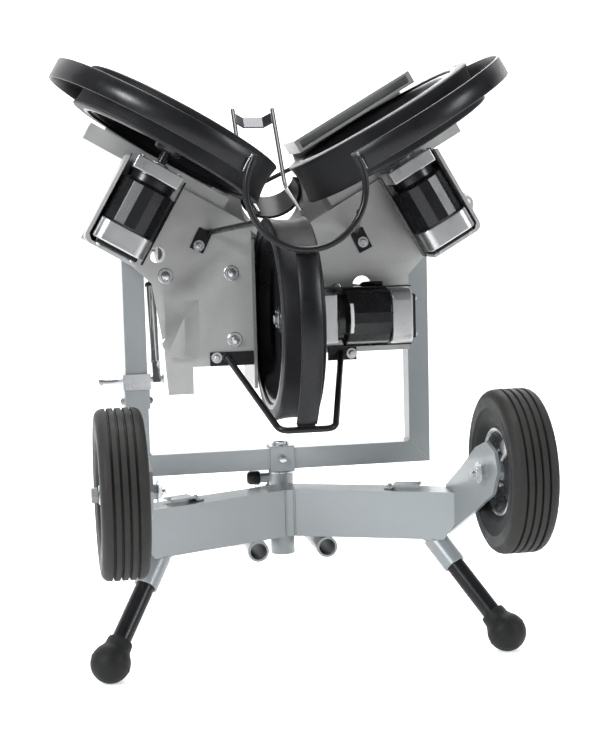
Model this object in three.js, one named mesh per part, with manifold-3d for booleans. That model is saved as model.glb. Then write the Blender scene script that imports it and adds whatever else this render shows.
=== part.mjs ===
// A three-wheel baseball pitching machine. Three motor-driven throwing wheels pinch the ball
// on one axis and throw it towards -Y. The head tilts in a yoke, the yoke swivels on a post,
// and the post stands on a wheeled base with three short telescoping legs.
// Millimetres, +Z up, origin on the floor.
import * as THREE from 'three';
import { mergeVertices } from 'three/addons/utils/BufferGeometryUtils.js';
import Module from 'manifold-3d';

const wasm = await Module();
wasm.setup();

// ---- driving dimensions -------------------------------------------------------------

const gap = 0.3;                  // clearance between touching pieces
const postShiftY = -81.6;            // moves the post so that the machine's box is centred on Y

const ball = { z: 670, radius: 37 };
const wheel = {
  radius: 152, halfWidth: 30, hollow: 4.5, rimRadius: 125, y: -92,
  centre: 182,                    // distance from the ball's axis to a wheel's axis
};
const motor = { start: 50, flange: 20, size: 76, neck: 16, can: 67, bell: 30, radius: 43, shaft: 7 };
const casting = {
  front: -40, back: 72, inner: 38, wall: 5,
  rib: { left: 43, right: 58 }, lip: 4, far: 272,   // the ribs above the upper wheels
  lowRib: 64, lowFar: 297,                          // the ribs below them, beside the motors
};
const guard = {
  radius: 194, width: 30, thick: 4, rod: 4.75, hoopZ: 679, hoopRadius: 83,
  spans: { lower: [-33, 45], left: [-30, 140], right: [-30, 140] },   // degrees round each wheel
};

const tilt = { y: 0, z: 650 };    // axis on which the head tilts
const yoke = { half: 238, tube: 33, bottom: 247.5, top: 672, wall: 3 };
const collar = { z: 395, height: 24, size: 42 };
const strut = { x: -190, low: [0, 397], high: [76, 592] };

const arm = { top: 226, bottom: 154, thick: 50, rootY: -75, endX: 231, endY: -175, wall: 4 };
const post = { radius: 19, bottom: 112, top: 240 };
const axle = { y: -326, z: 283, radius: 6, plateX: 231.3, plate: 5 };
const tyre = { radius: 114.3, width: 63.5, x: 270.6, rim: 62 };
const leg = {
  radius: 14, socketRadius: 17.5, footRadius: 28.5,
  foot: [289, -240, 27.5], arm: [207, -143, arm.bottom], top: 172, socketEnd: 116,
};
const lock = { z: 231.5, end: [-1, 0.25, 231.5] };
const rearLeg = { foot: [0, 575, 27.5], arm: [0, 150, 170], top: 189, socketTop: 200, socketEnd: 148 };
const handle = { x: 53, z: 137, outer: 16, inner: 12.5, front: -93, back: 101 };

// ---- materials ----------------------------------------------------------------------

const paint = (color, roughness, metalness) =>
  new THREE.MeshStandardMaterial({ color, roughness, metalness });
const silverPaint = paint(0x8c9698, 0.45, 0.35);
const castMetal = paint(0xa9a8a4, 0.5, 0.7);
const zinc = paint(0xb9bcc0, 0.3, 0.9);
const chrome = paint(0xc8c8cc, 0.12, 1.0);
const blackPaint = paint(0x121214, 0.3, 0.2);
const blackRubber = paint(0x1b1b1c, 0.75, 0.0);
const tyreRubber = paint(0x35332f, 0.8, 0.0);
const urethane = paint(0x17181a, 0.45, 0.0);
const wheelMetal = paint(0x77787a, 0.4, 0.8);
const blackPlastic = paint(0x1a1a1c, 0.5, 0.0);

// ---- geometry helpers ---------------------------------------------------------------

// Welds a geometry's vertices, drops empty triangles and turns its faces outwards.
function closed(geometry) {
  const bare = geometry.index ? geometry : geometry.clone();
  bare.deleteAttribute('normal');
  bare.deleteAttribute('uv');
  bare.clearGroups();
  const merged = mergeVertices(bare, 1e-3);
  const position = merged.attributes.position;
  const corner = (i) => new THREE.Vector3().fromBufferAttribute(position, i);
  const kept = [];
  let volume = 0;
  for (let i = 0; i < merged.index.count; i += 3) {
    const [a, b, c] = [0, 1, 2].map((k) => merged.index.getX(i + k));
    if (a === b || b === c || c === a) continue;
    kept.push([a, b, c]);
    volume += corner(a).dot(corner(b).cross(corner(c)));
  }
  const order = volume > 0 ? [0, 1, 2] : [0, 2, 1];
  merged.setIndex(kept.flatMap((face) => order.map((k) => face[k])));
  return merged;
}

function solid(geometry) {
  const shape = closed(geometry);
  return new wasm.Manifold(new wasm.Mesh({
    numProp: 3,
    vertProperties: new Float32Array(shape.attributes.position.array),
    triVerts: new Uint32Array(shape.index.array),
  }));
}

function geometryOf(manifold) {
  const mesh = manifold.getMesh();
  const geometry = new THREE.BufferGeometry();
  geometry.setAttribute('position', new THREE.BufferAttribute(mesh.vertProperties, 3));
  geometry.setIndex(new THREE.BufferAttribute(mesh.triVerts, 1));
  return geometry;
}

const join = (...shapes) => geometryOf(shapes.map(solid).reduce((a, b) => a.add(b)));
const cut = (shape, ...tools) => geometryOf(tools.map(solid).reduce((a, b) => a.subtract(b), solid(shape)));

const moved = (geometry, x, y, z) => geometry.clone().translate(x, y, z);

// A box between two corners.
function box(low, high) {
  const size = high.map((v, i) => v - low[i]);
  const middle = high.map((v, i) => (v + low[i]) / 2);
  return new THREE.BoxGeometry(...size).translate(...middle);
}

function outline(points) {
  return new THREE.Shape(points.map(([x, y]) => new THREE.Vector2(x, y)));
}

// A plate whose outline is drawn in X and Z, from y0 to y1.
function plateXZ(points, y0, y1) {
  const flat = new THREE.ExtrudeGeometry(outline(points), { depth: y1 - y0, bevelEnabled: false });
  return flat.rotateX(Math.PI / 2).translate(0, y1, 0);
}

// A plate whose outline is drawn in X and Y, from z0 to z1.
function plateXY(points, z0, z1) {
  const flat = new THREE.ExtrudeGeometry(outline(points), { depth: z1 - z0, bevelEnabled: false });
  return flat.translate(0, 0, z0);
}

// A plate whose outline is drawn in Y and Z, from x0 to x1.
function plateYZ(points, x0, x1) {
  const flat = new THREE.ExtrudeGeometry(outline(points), { depth: x1 - x0, bevelEnabled: false });
  return flat.rotateZ(Math.PI / 2).rotateY(Math.PI / 2).translate(x0, 0, 0);
}

// Points of an arc in a plane, from one angle to another in degrees.
function arc(cx, cy, radius, from, to, steps) {
  return Array.from({ length: steps + 1 }, (_, i) => {
    const angle = THREE.MathUtils.degToRad(from + (to - from) * i / steps);
    return [cx + radius * Math.cos(angle), cy + radius * Math.sin(angle)];
  });
}

// A turned piece: a profile of [radius, height] about the Z axis.
function turned(profile, segments = 32) {
  const points = profile.map(([r, h]) => new THREE.Vector2(r, h));
  return new THREE.LatheGeometry(points, segments).rotateX(Math.PI / 2);
}

// A turned piece whose profile closes on itself, such as a ring or a tube.
const ring = (profile, segments) => turned([...profile, profile[0]], segments);
const tube = (outer, inner, z0, z1, segments) =>
  ring([[outer, z0], [outer, z1], [inner, z1], [inner, z0]], segments);
const bar = (radius, z0, z1, segments) => turned([[0, z0], [radius, z0], [radius, z1], [0, z1]], segments);

// Turns a piece that lies along Z so that it runs from one point towards another.
function along(geometry, from, to) {
  const start = new THREE.Vector3(...from);
  const direction = new THREE.Vector3(...to).sub(start).normalize();
  const turn = new THREE.Quaternion().setFromUnitVectors(new THREE.Vector3(0, 0, 1), direction);
  return geometry.clone().applyQuaternion(turn).translate(...from);
}

const distance = (a, b) => new THREE.Vector3(...a).distanceTo(new THREE.Vector3(...b));
const rod = (radius, from, to, segments = 16) => along(bar(radius, 0, distance(from, to), segments), from,
  to);

// A point on the line through two points, at a given height.
function atHeight([x0, y0, z0], [x1, y1, z1], z) {
  const share = (z - z0) / (z1 - z0);
  return [x0 + (x1 - x0) * share, y0 + (y1 - y0) * share, z];
}

// A bent rod or cable of round section through the given points, rounded at its corners.
function bentRod(points, radius, bend, { sides = 10, steps = 4, straight = 1 } = {}) {
  const corners = points.map((p) => new THREE.Vector3(...p));
  const path = new THREE.CurvePath();
  let last = corners[0];
  corners.slice(1, -1).forEach((corner, i) => {
    const into = corner.clone().sub(corners[i]).normalize();
    const out = corners[i + 2].clone().sub(corner).normalize();
    const before = corner.clone().addScaledVector(into, -bend);
    const after = corner.clone().addScaledVector(out, bend);
    path.add(new THREE.LineCurve3(last, before));
    path.add(new THREE.QuadraticBezierCurve3(before, corner, after));
    last = after;
  });
  path.add(new THREE.LineCurve3(last, corners[corners.length - 1]));
  const spots = path.curves.flatMap((curve) => curve.getPoints(curve.isLineCurve3 ? straight : steps));
  return sweep(spots.filter((spot, i) => i === 0 || spot.distanceTo(spots[i - 1]) > 0.01), radius, sides);
}

// Sweeps a circle through a list of points, with frames that turn as little as they can.
function sweep(spots, radius, sides) {
  const route = {
    getPointAt: (t) => spots[Math.round(t * (spots.length - 1))],
    getTangentAt: (t) => {
      const i = Math.round(t * (spots.length - 1));
      const before = spots[Math.max(i - 1, 0)];
      return spots[Math.min(i + 1, spots.length - 1)].clone().sub(before).normalize();
    },
  };
  const path = new THREE.Curve();
  path.getPointAt = route.getPointAt;
  path.getTangentAt = route.getTangentAt;
  path.getSpacedPoints = () => spots;
  const section = outline(arc(0, 0, radius, 0, 360 - 360 / sides, sides - 1));
  return new THREE.ExtrudeGeometry(section,
    { steps: spots.length - 1, extrudePath: path, bevelEnabled: false });
}

const hexagon = (flats, z0, z1) => bar(flats / Math.sqrt(3), z0, z1, 6);
const mirrored = (points) => points.map(([x, ...rest]) => [-x, ...rest]).reverse();
const flip = ([x, y, z], side) => [x * side, y, z];

// ---- scene --------------------------------------------------------------------------

const machine = new THREE.Group();
machine.position.y = postShiftY;
const base = new THREE.Group();
const yokeGroup = new THREE.Group();
const head = new THREE.Group();
machine.add(base, yokeGroup, head);

function add(group, name, geometry, material) {
  const mesh = new THREE.Mesh(closed(geometry), material);
  mesh.name = name;
  group.add(mesh);
  return mesh;
}

// ---- base ---------------------------------------------------------------------------

const sides = [['left', -1], ['right', 1]];
const armDirection = new THREE.Vector2(arm.endX, arm.endY - arm.rootY).normalize();
const armDepth = arm.thick / armDirection.x;
const armFront = (x) => arm.rootY + armDirection.y / armDirection.x * x;

// A stretch of the box-section arm seen from above, with its walls drawn in by inset.
function armPlan(from, to, inset) {
  const shift = inset / armDirection.x;
  return [
    [from, armFront(from) + shift], [to, armFront(to) + shift],
    [to, armFront(to) + armDepth - shift], [from, armFront(from) + armDepth - shift],
  ];
}

function mirrorX(geometry, side) {
  return side > 0 ? geometry : closed(geometry.clone().scale(-1, 1, 1));
}

const weldStrip = 6;
function baseArm() {
  const outside = plateXY(armPlan(weldStrip + gap, arm.endX, 0), arm.bottom, arm.top);
  const inside = plateXY(armPlan(-20, arm.endX + 20, arm.wall), arm.bottom + arm.wall, arm.top - arm.wall);
  const postHole = bar(post.radius + gap, arm.bottom - 5, arm.top + 5, 32);
  const legHole = rod(leg.radius + 0.6, atHeight(leg.foot, leg.arm, 120), atHeight(leg.foot, leg.arm, 168),
    20);
  const corner = plateXZ([
    [arm.endX - 16, arm.bottom - 1], [arm.endX + 9, arm.bottom - 1], [arm.endX + 9, arm.bottom + 36],
  ], arm.endY - 20, arm.endY + 90);
  return cut(outside, inside, postHole, legHole, corner);
}

function swivelPost() {
  const pipe = tube(post.radius, 13.5, post.bottom, post.top, 32);
  const strip = box([-weldStrip, arm.rootY - 3, arm.bottom], [weldStrip, -post.radius + 2, arm.top]);
  const clampBoss = along(tube(8, 4.3, post.radius - 2, 32, 16), [0, 0, lock.z], lock.end);
  return join(pipe, strip, clampBoss);
}

// The plate at the end of an arm carries the axle of a transport wheel out in front.
function axlePlate() {
  const shape = [
    [-128, 230], [-212, 272], [-281, 311], [-331, 327], [-370, 318],
    [-382, 293], [-359, 258], [-267, 214], [-135, 155],
  ];
  const plate = plateYZ(shape, axle.plateX, axle.plateX + axle.plate);
  const outerEnd = tyre.x + tyre.width / 2 + 1;
  const parts = [
    hexagon(19, axle.plateX - 9, axle.plateX + 1),
    bar(11, axle.plateX - 2, axle.plateX + 1, 20),
    bar(axle.radius, axle.plateX - 12, outerEnd + 4, 20),
    bar(9.5, axle.plateX + axle.plate - 1, tyre.x - tyre.width / 2 + 0.5, 20),
    hexagon(19, outerEnd - 2, outerEnd + 6),
  ];
  const along = parts.map((part) => moved(part.rotateY(Math.PI / 2), 0, axle.y, axle.z));
  return join(plate, ...along);
}

// A welded tube in which a leg slides, cut off square below and at the arm above.
function legSocket({ foot, arm: mouth, socketEnd }, above) {
  const low = atHeight(foot, mouth, socketEnd);
  const high = atHeight(foot, mouth, above + 40);
  const pipe = along(tube(leg.socketRadius, leg.radius + 0.6, 0, distance(low, high), 24), low, high);
  return cut(pipe, box([-400, -400, above - gap], [400, 400, above + 100]));
}

// The rear leg's socket hangs from a short square tube behind the post.
function rearSocket() {
  const half = 20;
  const back = 150;
  const stub = box([-half, post.radius - 3, arm.bottom], [half, back, arm.bottom + 2 * half]);
  const postHole = bar(post.radius + gap, arm.bottom - 5, arm.top, 32);
  const { foot, arm: mouth, socketEnd } = rearLeg;
  const low = atHeight(foot, mouth, socketEnd);
  const high = atHeight(foot, mouth, rearLeg.socketTop);
  const pipe = rod(leg.socketRadius, low, high, 24);
  const bore = rod(leg.radius + 0.6, atHeight(foot, mouth, socketEnd - 10),
    atHeight(foot, mouth, rearLeg.top + 8), 24);
  return cut(join(cut(stub, postHole), pipe), bore);
}

function legTube({ foot, arm: mouth, top }) {
  const end = atHeight(foot, mouth, top);
  const length = distance(foot, end);
  const pin = 10;
  return along(turned([[0, pin], [leg.radius, pin], [leg.radius, length], [0, length]], 24), foot, end);
}

// A rubber ball foot with a conical collar, flattened a little where it stands.
function rubberFoot({ foot, arm: mouth }) {
  const radius = leg.footRadius;
  const collarEnd = 36;
  const round = arc(0, 0, radius, -90, 42, 7);
  const profile = [...round, [leg.radius + 4, collarEnd], [leg.radius + gap, collarEnd],
    [leg.radius + gap, 9], [0, 9]];
  const body = along(turned(profile, 24), foot, mouth);
  const floor = box([-500, -700, -50], [500, 700, 0]);
  return cut(body, floor);
}

add(base, 'swivel_post', swivelPost(), silverPaint);
for (const [label, side] of sides) {
  add(base, `base_arm_${label}`, mirrorX(baseArm(), side), silverPaint);
  add(base, `axle_plate_${label}`, mirrorX(axlePlate(), side), silverPaint);
  add(base, `leg_socket_${label}`, mirrorX(legSocket(leg, arm.bottom), side), silverPaint);
  const handleTube = tube(handle.outer, handle.inner, handle.front, handle.back, 24).rotateX(-Math.PI / 2);
  add(base, `handle_socket_${label}`, moved(handleTube, handle.x * side, 0, handle.z), silverPaint);
  add(base, `leg_tube_${label}`, mirrorX(legTube(leg), side), blackPaint);
  add(base, `leg_foot_${label}`, mirrorX(rubberFoot(leg), side), blackRubber);
}
add(base, 'leg_socket_rear', rearSocket(), silverPaint);
add(base, 'leg_tube_rear', legTube(rearLeg), blackPaint);
add(base, 'leg_foot_rear', rubberFoot(rearLeg), blackRubber);

// A sprung latch tab lies along each arm and holds the leg below it.
function legLatch() {
  const length = 54;
  const thick = 3;
  const profile = [
    [0, 0], [10, 0], [16, 5], [length, 5], [length, 5 + thick], [14, 5 + thick], [8, thick], [0, thick],
  ];
  return plateXZ(profile, -14, 14);
}
const latchStart = 142;
for (const [label, side] of sides) {
  const holder = new THREE.Group();
  holder.position.set(side * latchStart, armFront(latchStart) + armDepth / 2, arm.top + gap);
  holder.rotation.z = side * Math.atan2(armDirection.y, armDirection.x) + (side > 0 ? 0 : Math.PI);
  add(holder, `leg_latch_${label}`, legLatch(), silverPaint);
  base.add(holder);
}

// The swivel lock: a screw in the post's boss, turned by a cranked lever with a black grip.
function swivelLock() {
  const screw = bar(4, 0, 26, 16);
  const hub = turned([[0, 13.5], [9, 13.5], [11, 16], [11, 30], [8, 34], [0, 34]], 20);
  const lever = moved(turned([[0, 0], [4, 0], [5.5, 34], [6.5, 46], [4, 50], [0, 50]],
    16).rotateX(-Math.PI / 2), 0, 0, 24);
  return join(screw, hub, lever);
}
const lockHolder = new THREE.Group();
const lockAxis = new THREE.Vector3(...lock.end).setZ(0).normalize();
lockHolder.position.copy(lockAxis).multiplyScalar(19.4).setZ(lock.z);
lockHolder.quaternion.setFromUnitVectors(new THREE.Vector3(0, 0, 1), lockAxis);
add(lockHolder, 'swivel_lock_lever', swivelLock(), blackPlastic);
base.add(lockHolder);

// ---- transport wheels ---------------------------------------------------------------

function tyreSolid() {
  const half = tyre.width / 2;
  const bead = 21;
  return ring([
    [tyre.rim, -bead], [tyre.rim + 8, -half + 5], [84, -half], [104, -half], [111, -half + 3],
    [tyre.radius, -half + 11], [tyre.radius, half - 11], [111, half - 3], [104, half], [84, half],
    [tyre.rim + 8, half - 5], [tyre.rim, bead],
  ], 32);
}

function rimSolid() {
  const bore = axle.radius + 0.4;
  return ring([
    [bore, -29], [13, -29], [13, -9], [46, -8], [53, -19], [tyre.rim - gap, -21],
    [tyre.rim - gap, 21], [53, 19], [46, -3], [13, -4], [13, 29], [bore, 29],
  ], 32);
}

for (const [label, side] of sides) {
  const holder = new THREE.Group();
  holder.position.set(side * tyre.x, axle.y, axle.z);
  holder.rotation.y = side * Math.PI / 2;
  add(holder, `transport_tyre_${label}`, tyreSolid(), tyreRubber);
  add(holder, `transport_rim_${label}`, rimSolid(), zinc);
  base.add(holder);
}

// ---- yoke ---------------------------------------------------------------------------

const tubeHalf = yoke.tube / 2;
const barTop = yoke.bottom + yoke.tube;

// The crossbar's ends are mitred to meet the uprights.
function crossbar() {
  const w = yoke.wall;
  const outside = plateXZ([
    [-yoke.half + gap, yoke.bottom], [yoke.half - gap, yoke.bottom],
    [yoke.half - yoke.tube - gap, barTop], [-yoke.half + yoke.tube + gap, barTop],
  ], -tubeHalf, tubeHalf);
  const inside = plateXZ([
    [-yoke.half, yoke.bottom + w], [yoke.half, yoke.bottom + w],
    [yoke.half, barTop - w], [-yoke.half, barTop - w],
  ], -tubeHalf + w, tubeHalf - w);
  const spindleHole = bar(13, yoke.bottom - 5, barTop + 5, 24);
  return cut(outside, inside, spindleHole);
}

function upright() {
  const w = yoke.wall;
  const inner = yoke.half - yoke.tube;
  const outside = plateXZ([
    [yoke.half, yoke.bottom + gap], [yoke.half, yoke.top],
    [inner, yoke.top], [inner, barTop + gap],
  ], -tubeHalf, tubeHalf);
  const inside = box([inner + w, -tubeHalf + w, yoke.bottom - 5],
    [yoke.half - w, tubeHalf - w, yoke.top - w]);
  const pivotHole = moved(bar(6.4, inner - 10, yoke.half + 10, 20).rotateY(Math.PI / 2), 0, tilt.y, tilt.z);
  return cut(outside, inside, pivotHole);
}

// The sleeve under the collar is welded to the left upright and carries a through bolt.
function leftUpright() {
  const middle = -(yoke.half - tubeHalf);
  const low = collar.z - collar.height / 2 - 30;
  const high = collar.z - collar.height / 2 - gap;
  const sleeve = box([middle - 19, -19, low], [middle + 19, 19, high]);
  const space = box([middle - tubeHalf + 1, -tubeHalf + 1, low - 5],
    [middle + tubeHalf - 1, tubeHalf - 1, high + 5]);
  const bolt = moved(bar(3, middle - 25, middle + 25, 12).rotateY(Math.PI / 2), 0, 0, low + 11);
  const heads = [-1, 1].map((side) =>
    moved(hexagon(10, -2.5, 2.5).rotateY(Math.PI / 2), middle + side * 21, 0, low + 11));
  const pinHole = moved(bar(6.3, middle - 40, middle + 40, 16).rotateY(Math.PI / 2), 0, 0, collar.z);
  const raw = join(mirrorX(upright(), -1), cut(sleeve, space), bolt, ...heads);
  return cut(raw, pinHole);
}

// The zinc collar holds the lock pin, and a stud on its inner face carries the strut.
function tiltCollar() {
  const middle = -(yoke.half - tubeHalf);
  const half = collar.size / 2;
  const low = collar.z - collar.height / 2;
  const high = collar.z + collar.height / 2;
  const block = box([middle - half, -half, low], [middle + half, half, high]);
  const space = box([middle - tubeHalf - gap, -tubeHalf - gap, low - 5],
    [middle + tubeHalf + gap, tubeHalf + gap, high + 5]);
  const stud = moved(bar(5, middle + half - 3, strut.x + 11, 16).rotateY(Math.PI / 2), 0, strut.low[0],
    strut.low[1]);
  const washer = moved(bar(8, strut.x + 8.5, strut.x + 11, 16).rotateY(Math.PI / 2), 0, strut.low[0],
    strut.low[1]);
  const pinHole = moved(bar(5.4, middle - 40, middle, 16).rotateY(Math.PI / 2), 0, 0, collar.z);
  return cut(join(cut(block, space), stud, washer), pinHole);
}

// Pulled outwards, the pin frees the collar so that it slides to another hole.
function lockPin() {
  const middle = -(yoke.half - tubeHalf);
  const outer = middle - collar.size / 2;
  const profile = [[0, -36], [6.5, -36], [6.5, -31], [5, -30], [5, 26], [3.5, 29], [0, 29]];
  return moved(turned(profile, 16).rotateY(Math.PI / 2), outer, 0, collar.z);
}

// The saddle wraps the crossbar over the spindle and is held by one bolt.
function saddle() {
  const half = 19;
  const skin = 3;
  const outside = box([-half, -tubeHalf - gap - skin, yoke.bottom - 4],
    [half, tubeHalf + gap + skin, barTop + 4]);
  const space = box([-half - 5, -tubeHalf - gap, yoke.bottom - 10], [half + 5, tubeHalf + gap, barTop + gap]);
  const spindleHole = bar(13, yoke.bottom - 10, barTop + 10, 24);
  const bolt = moved(hexagon(11, -5, 1).rotateX(-Math.PI / 2), 0, -tubeHalf - skin - gap,
    yoke.bottom + tubeHalf);
  return join(cut(outside, space, spindleHole), bolt);
}

// The spindle stands on the post, turns in it and passes up through the crossbar.
function spindle() {
  return turned([
    [0, post.bottom + 4], [13.2, post.bottom + 4], [13.2, post.top + gap], [20, post.top + gap],
    [20, yoke.bottom - 4.5], [12.7, yoke.bottom - 4.5], [12.7, barTop + 9], [10, barTop + 11],
      [0, barTop + 11],
  ], 32);
}

const strutLow = [strut.x, ...strut.low];
const strutHigh = [strut.x, ...strut.high];
const strutLength = distance(strutLow, strutHigh);

// The strut's cylinder hangs on the collar's stud by a clevis block.
function strutCylinder() {
  const block = cut(box([-6, -8, -8], [6, 8, 26]), bar(5.4, -10, 10, 16).rotateY(Math.PI / 2));
  const body = tube(7.5, 4.4, 24, 155, 24);
  return along(join(block, body), strutLow, strutHigh);
}

function strutRod() {
  const shaft = bar(4, 48, strutLength - 6, 16);
  const eye = moved(bar(8.5, -6, 6, 20).rotateY(Math.PI / 2), 0, 0, strutLength);
  const hole = moved(bar(6.5, -10, 10, 20).rotateY(Math.PI / 2), 0, 0, strutLength);
  return along(cut(join(shaft, eye), hole), strutLow, strutHigh);
}

add(yokeGroup, 'yoke_crossbar', crossbar(), silverPaint);
add(yokeGroup, 'yoke_upright_left', leftUpright(), silverPaint);
add(yokeGroup, 'yoke_upright_right', upright(), silverPaint);
add(yokeGroup, 'swivel_spindle', spindle(), zinc);
add(yokeGroup, 'yoke_saddle', saddle(), silverPaint);
add(yokeGroup, 'tilt_collar', tiltCollar(), zinc);
add(yokeGroup, 'tilt_lock_pin', lockPin(), zinc);
add(yokeGroup, 'strut_cylinder', strutCylinder(), chrome);
add(yokeGroup, 'strut_rod', strutRod(), chrome);

// The clamp knob on the right is screwed onto the tilt axis.
const clampKnob = turned([
  [0, 0], [8, 0], [8, 26], [18, 31], [20, 38], [20, 66], [16, 76], [0, 80],
], 24).rotateY(Math.PI / 2);
add(yokeGroup, 'tilt_clamp_knob', moved(clampKnob, yoke.half + gap, tilt.y, tilt.z), castMetal);

// ---- throwing wheels and motors -----------------------------------------------------

// Sectors stand round the ball's axis. In each sector's own frame the wheel hangs below
// the axis and turns about X, with its motor on the +X side (or -X where side is -1).
const sectors = [
  { label: 'lower', turn: 0, side: 1 },
  { label: 'left', turn: 120, side: 1 },
  { label: 'right', turn: -120, side: -1 },
];

function sectorGroup({ turn }) {
  const group = new THREE.Group();
  group.position.z = ball.z;
  group.rotation.y = THREE.MathUtils.degToRad(turn);
  return group;
}

// Takes a geometry from a sector's own frame into the head's frame.
function fromSector(geometry, { turn }) {
  return geometry.clone().rotateY(THREE.MathUtils.degToRad(turn)).translate(0, 0, ball.z);
}

const wheelSegments = 40;

// The tread is hollow so that it cups the ball.
function throwingTyre() {
  const { radius, halfWidth: w, hollow, rimRadius } = wheel;
  const cup = [-0.6, 0, 0.6].map((s) => [radius - hollow * (1 - s * s), s * w]);
  return ring([
    [rimRadius, -w + 3], [rimRadius + 3, -w], [radius - 2, -w], [radius, -w + 2],
    ...cup,
    [radius, w - 2], [radius - 2, w], [rimRadius + 3, w], [rimRadius, w - 3],
  ], wheelSegments);
}

// Hub, motor shaft and hub bolt turn as one.
function throwingHub() {
  const rim = wheel.rimRadius - gap;
  const shaftEnd = motor.start + 4;
  return turned([
    [0, -18], [7, -18], [7, -13], [19, -13], [21, -6], [110, -5], [118, -25], [rim, -27],
    [rim, 27], [118, 25], [110, 3], [22, 3], [20, 27], [motor.shaft, 28], [motor.shaft, shaftEnd],
      [0, shaftEnd],
  ], wheelSegments);
}

// A direct-drive motor: square flange, neck, eight-sided can, end bell and end plate.
function motorSolid() {
  const { start, flange, size, neck, can, bell, radius, shaft } = motor;
  const half = size / 2;
  const canStart = start + flange + neck;
  const bellStart = canStart + can;
  const plateStart = bellStart + bell;
  const block = cut(box([-half, -half, start], [half, half, start + flange]),
    bar(shaft + 1.5, start - 5, start + 8, 20));
  const octagon = bar(radius / Math.cos(Math.PI / 8), canStart, bellStart, 8).rotateZ(Math.PI / 8);
  return join(
    block,
    bar(radius - 7, start + flange - 1, canStart + 1, 32),
    octagon,
    bar(radius, bellStart - 1, plateStart, 32),
    box([-half + 3, -half + 3, plateStart - 1], [half - 3, half - 3, plateStart + 7]),
  );
}

for (const sector of sectors) {
  const group = sectorGroup(sector);
  const hub = new THREE.Group();
  hub.position.set(0, wheel.y, -wheel.centre);
  hub.rotation.y = sector.side * Math.PI / 2;
  add(hub, `throwing_tyre_${sector.label}`, throwingTyre(), urethane);
  add(hub, `throwing_hub_${sector.label}`, throwingHub(), wheelMetal);
  add(hub, `motor_${sector.label}`, motorSolid(), blackPaint);
  group.add(hub);
  head.add(group);
}

// ---- head casting -------------------------------------------------------------------

// The feed tube leads the ball from the chute down to the wheels.
const feed = { y: 46, z: 690, slope: 38, inner: 44, outer: 49, length: 50 };
function feedBar(radius, length) {
  const slope = THREE.MathUtils.degToRad(feed.slope);
  const piece = bar(radius, -length / 2, length / 2, 36);
  return moved(piece.rotateX(-Math.PI / 2 + slope), 0, feed.y, feed.z);
}
function feedTube() {
  const slope = THREE.MathUtils.degToRad(feed.slope);
  const piece = tube(feed.outer, feed.inner, -feed.length / 2, feed.length / 2, 36);
  const whole = moved(piece.rotateX(-Math.PI / 2 + slope), 0, feed.y, feed.z);
  return cut(whole, box([-60, -40, feed.z + 10], [60, 120, feed.z + 80]));
}

// Each upper wheel runs in a trough with a rib along each side. The deep upper rib has a groove.
function upperTrough(sector) {
  const { front, back, inner, wall, lip, far, lowRib, lowFar } = casting;
  const rib = casting.rib[sector.label];
  const near = 64;
  const floor = box([-inner, back - wall, -far], [inner, back, -near]);
  const down = sector.side;
  const spanX = (from, to) => [Math.min(from, to), Math.max(from, to)];
  const [low0, low1] = spanX(down * inner, down * lowRib);
  const lowerRib = box([low0, front, -lowFar], [low1, back, -near]);
  const [high0, high1] = spanX(-down * inner, -down * rib);
  const upperRib = box([high0, front, -far], [high1, back, -near]);
  if (rib < casting.rib.right) return fromSector(join(floor, lowerRib, upperRib), sector);
  const groove = box([high0 + lip, front - 5, -far + 7], [high1 - lip, front + 22, -near - 7]);
  return fromSector(join(floor, lowerRib, cut(upperRib, groove)), sector);
}

function lowerTrough() {
  const { back, inner, wall } = casting;
  const near = 64;
  const far = 291;
  const front = casting.front + 2;
  return fromSector(join(
    box([-inner - wall, back - wall, -far], [inner + wall, back, -near]),
    box([-inner - wall, front, -far], [-inner, back, -near]),
    box([inner, front, -far], [inner + wall, back, -near]),
  ), sectors[0]);
}

// The middle of the casting joins the three troughs round the ball's way in.
function castingHub() {
  const middle = moved(tube(92, 46, 14, 44, 36).rotateX(-Math.PI / 2), 0, 0, ball.z);
  return cut(middle, box([-60, 0, ball.z + 30], [60, 60, ball.z + 120]));
}

function headCasting() {
  const whole = join(lowerTrough(), upperTrough(sectors[1]), upperTrough(sectors[2]), castingHub());
  const wheelRoom = sectors.map((sector) => {
    const room = bar(wheel.radius + 8, -casting.inner + 0.5, casting.inner - 0.5, 48).rotateY(Math.PI / 2);
    return fromSector(moved(room, 0, wheel.y, -wheel.centre), sector);
  });
  return cut(whole, feedBar(feed.outer + gap, 220), ...wheelRoom);
}

// ---- side panels --------------------------------------------------------------------

const panel = { front: -46, back: casting.front - gap, edge: 43.5 + gap, pocketFront: -116 };

// A point given by its distance out along the upper sector and its drop below the wheel.
function leftSectorPoint(out, drop) {
  const angle = THREE.MathUtils.degToRad(30);
  return [
    -out * Math.cos(angle) - drop * Math.sin(angle),
    ball.z + out * Math.sin(angle) - drop * Math.cos(angle),
  ];
}

const ribEdge = casting.rib.right + gap;
const leadHole = { x: 186, z: 688 };
const pocket = { out: 232, drop: 196, wall: 5, near: 146 };
const nearTop = [-panel.edge, leftSectorPoint((panel.edge - ribEdge / 2) / Math.cos(Math.PI / 6),
  ribEdge)[1]];

function leftOutline() {
  return [
    [-176, 376], [-138, 376], [-138, 417], [-panel.edge, 417], nearTop,
    leftSectorPoint(pocket.out, ribEdge), leftSectorPoint(pocket.out, pocket.drop),
    leftSectorPoint(pocket.near, pocket.drop + 1), [-196, 545], [-193, 525], [-180.5, 445],
  ];
}

function rightOutline() {
  const kept = leftOutline().slice(5, 8);
  return mirrored([[-200, 430], [-panel.edge, 430], nearTop, ...kept, [-200, 546]]);
}

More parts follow.
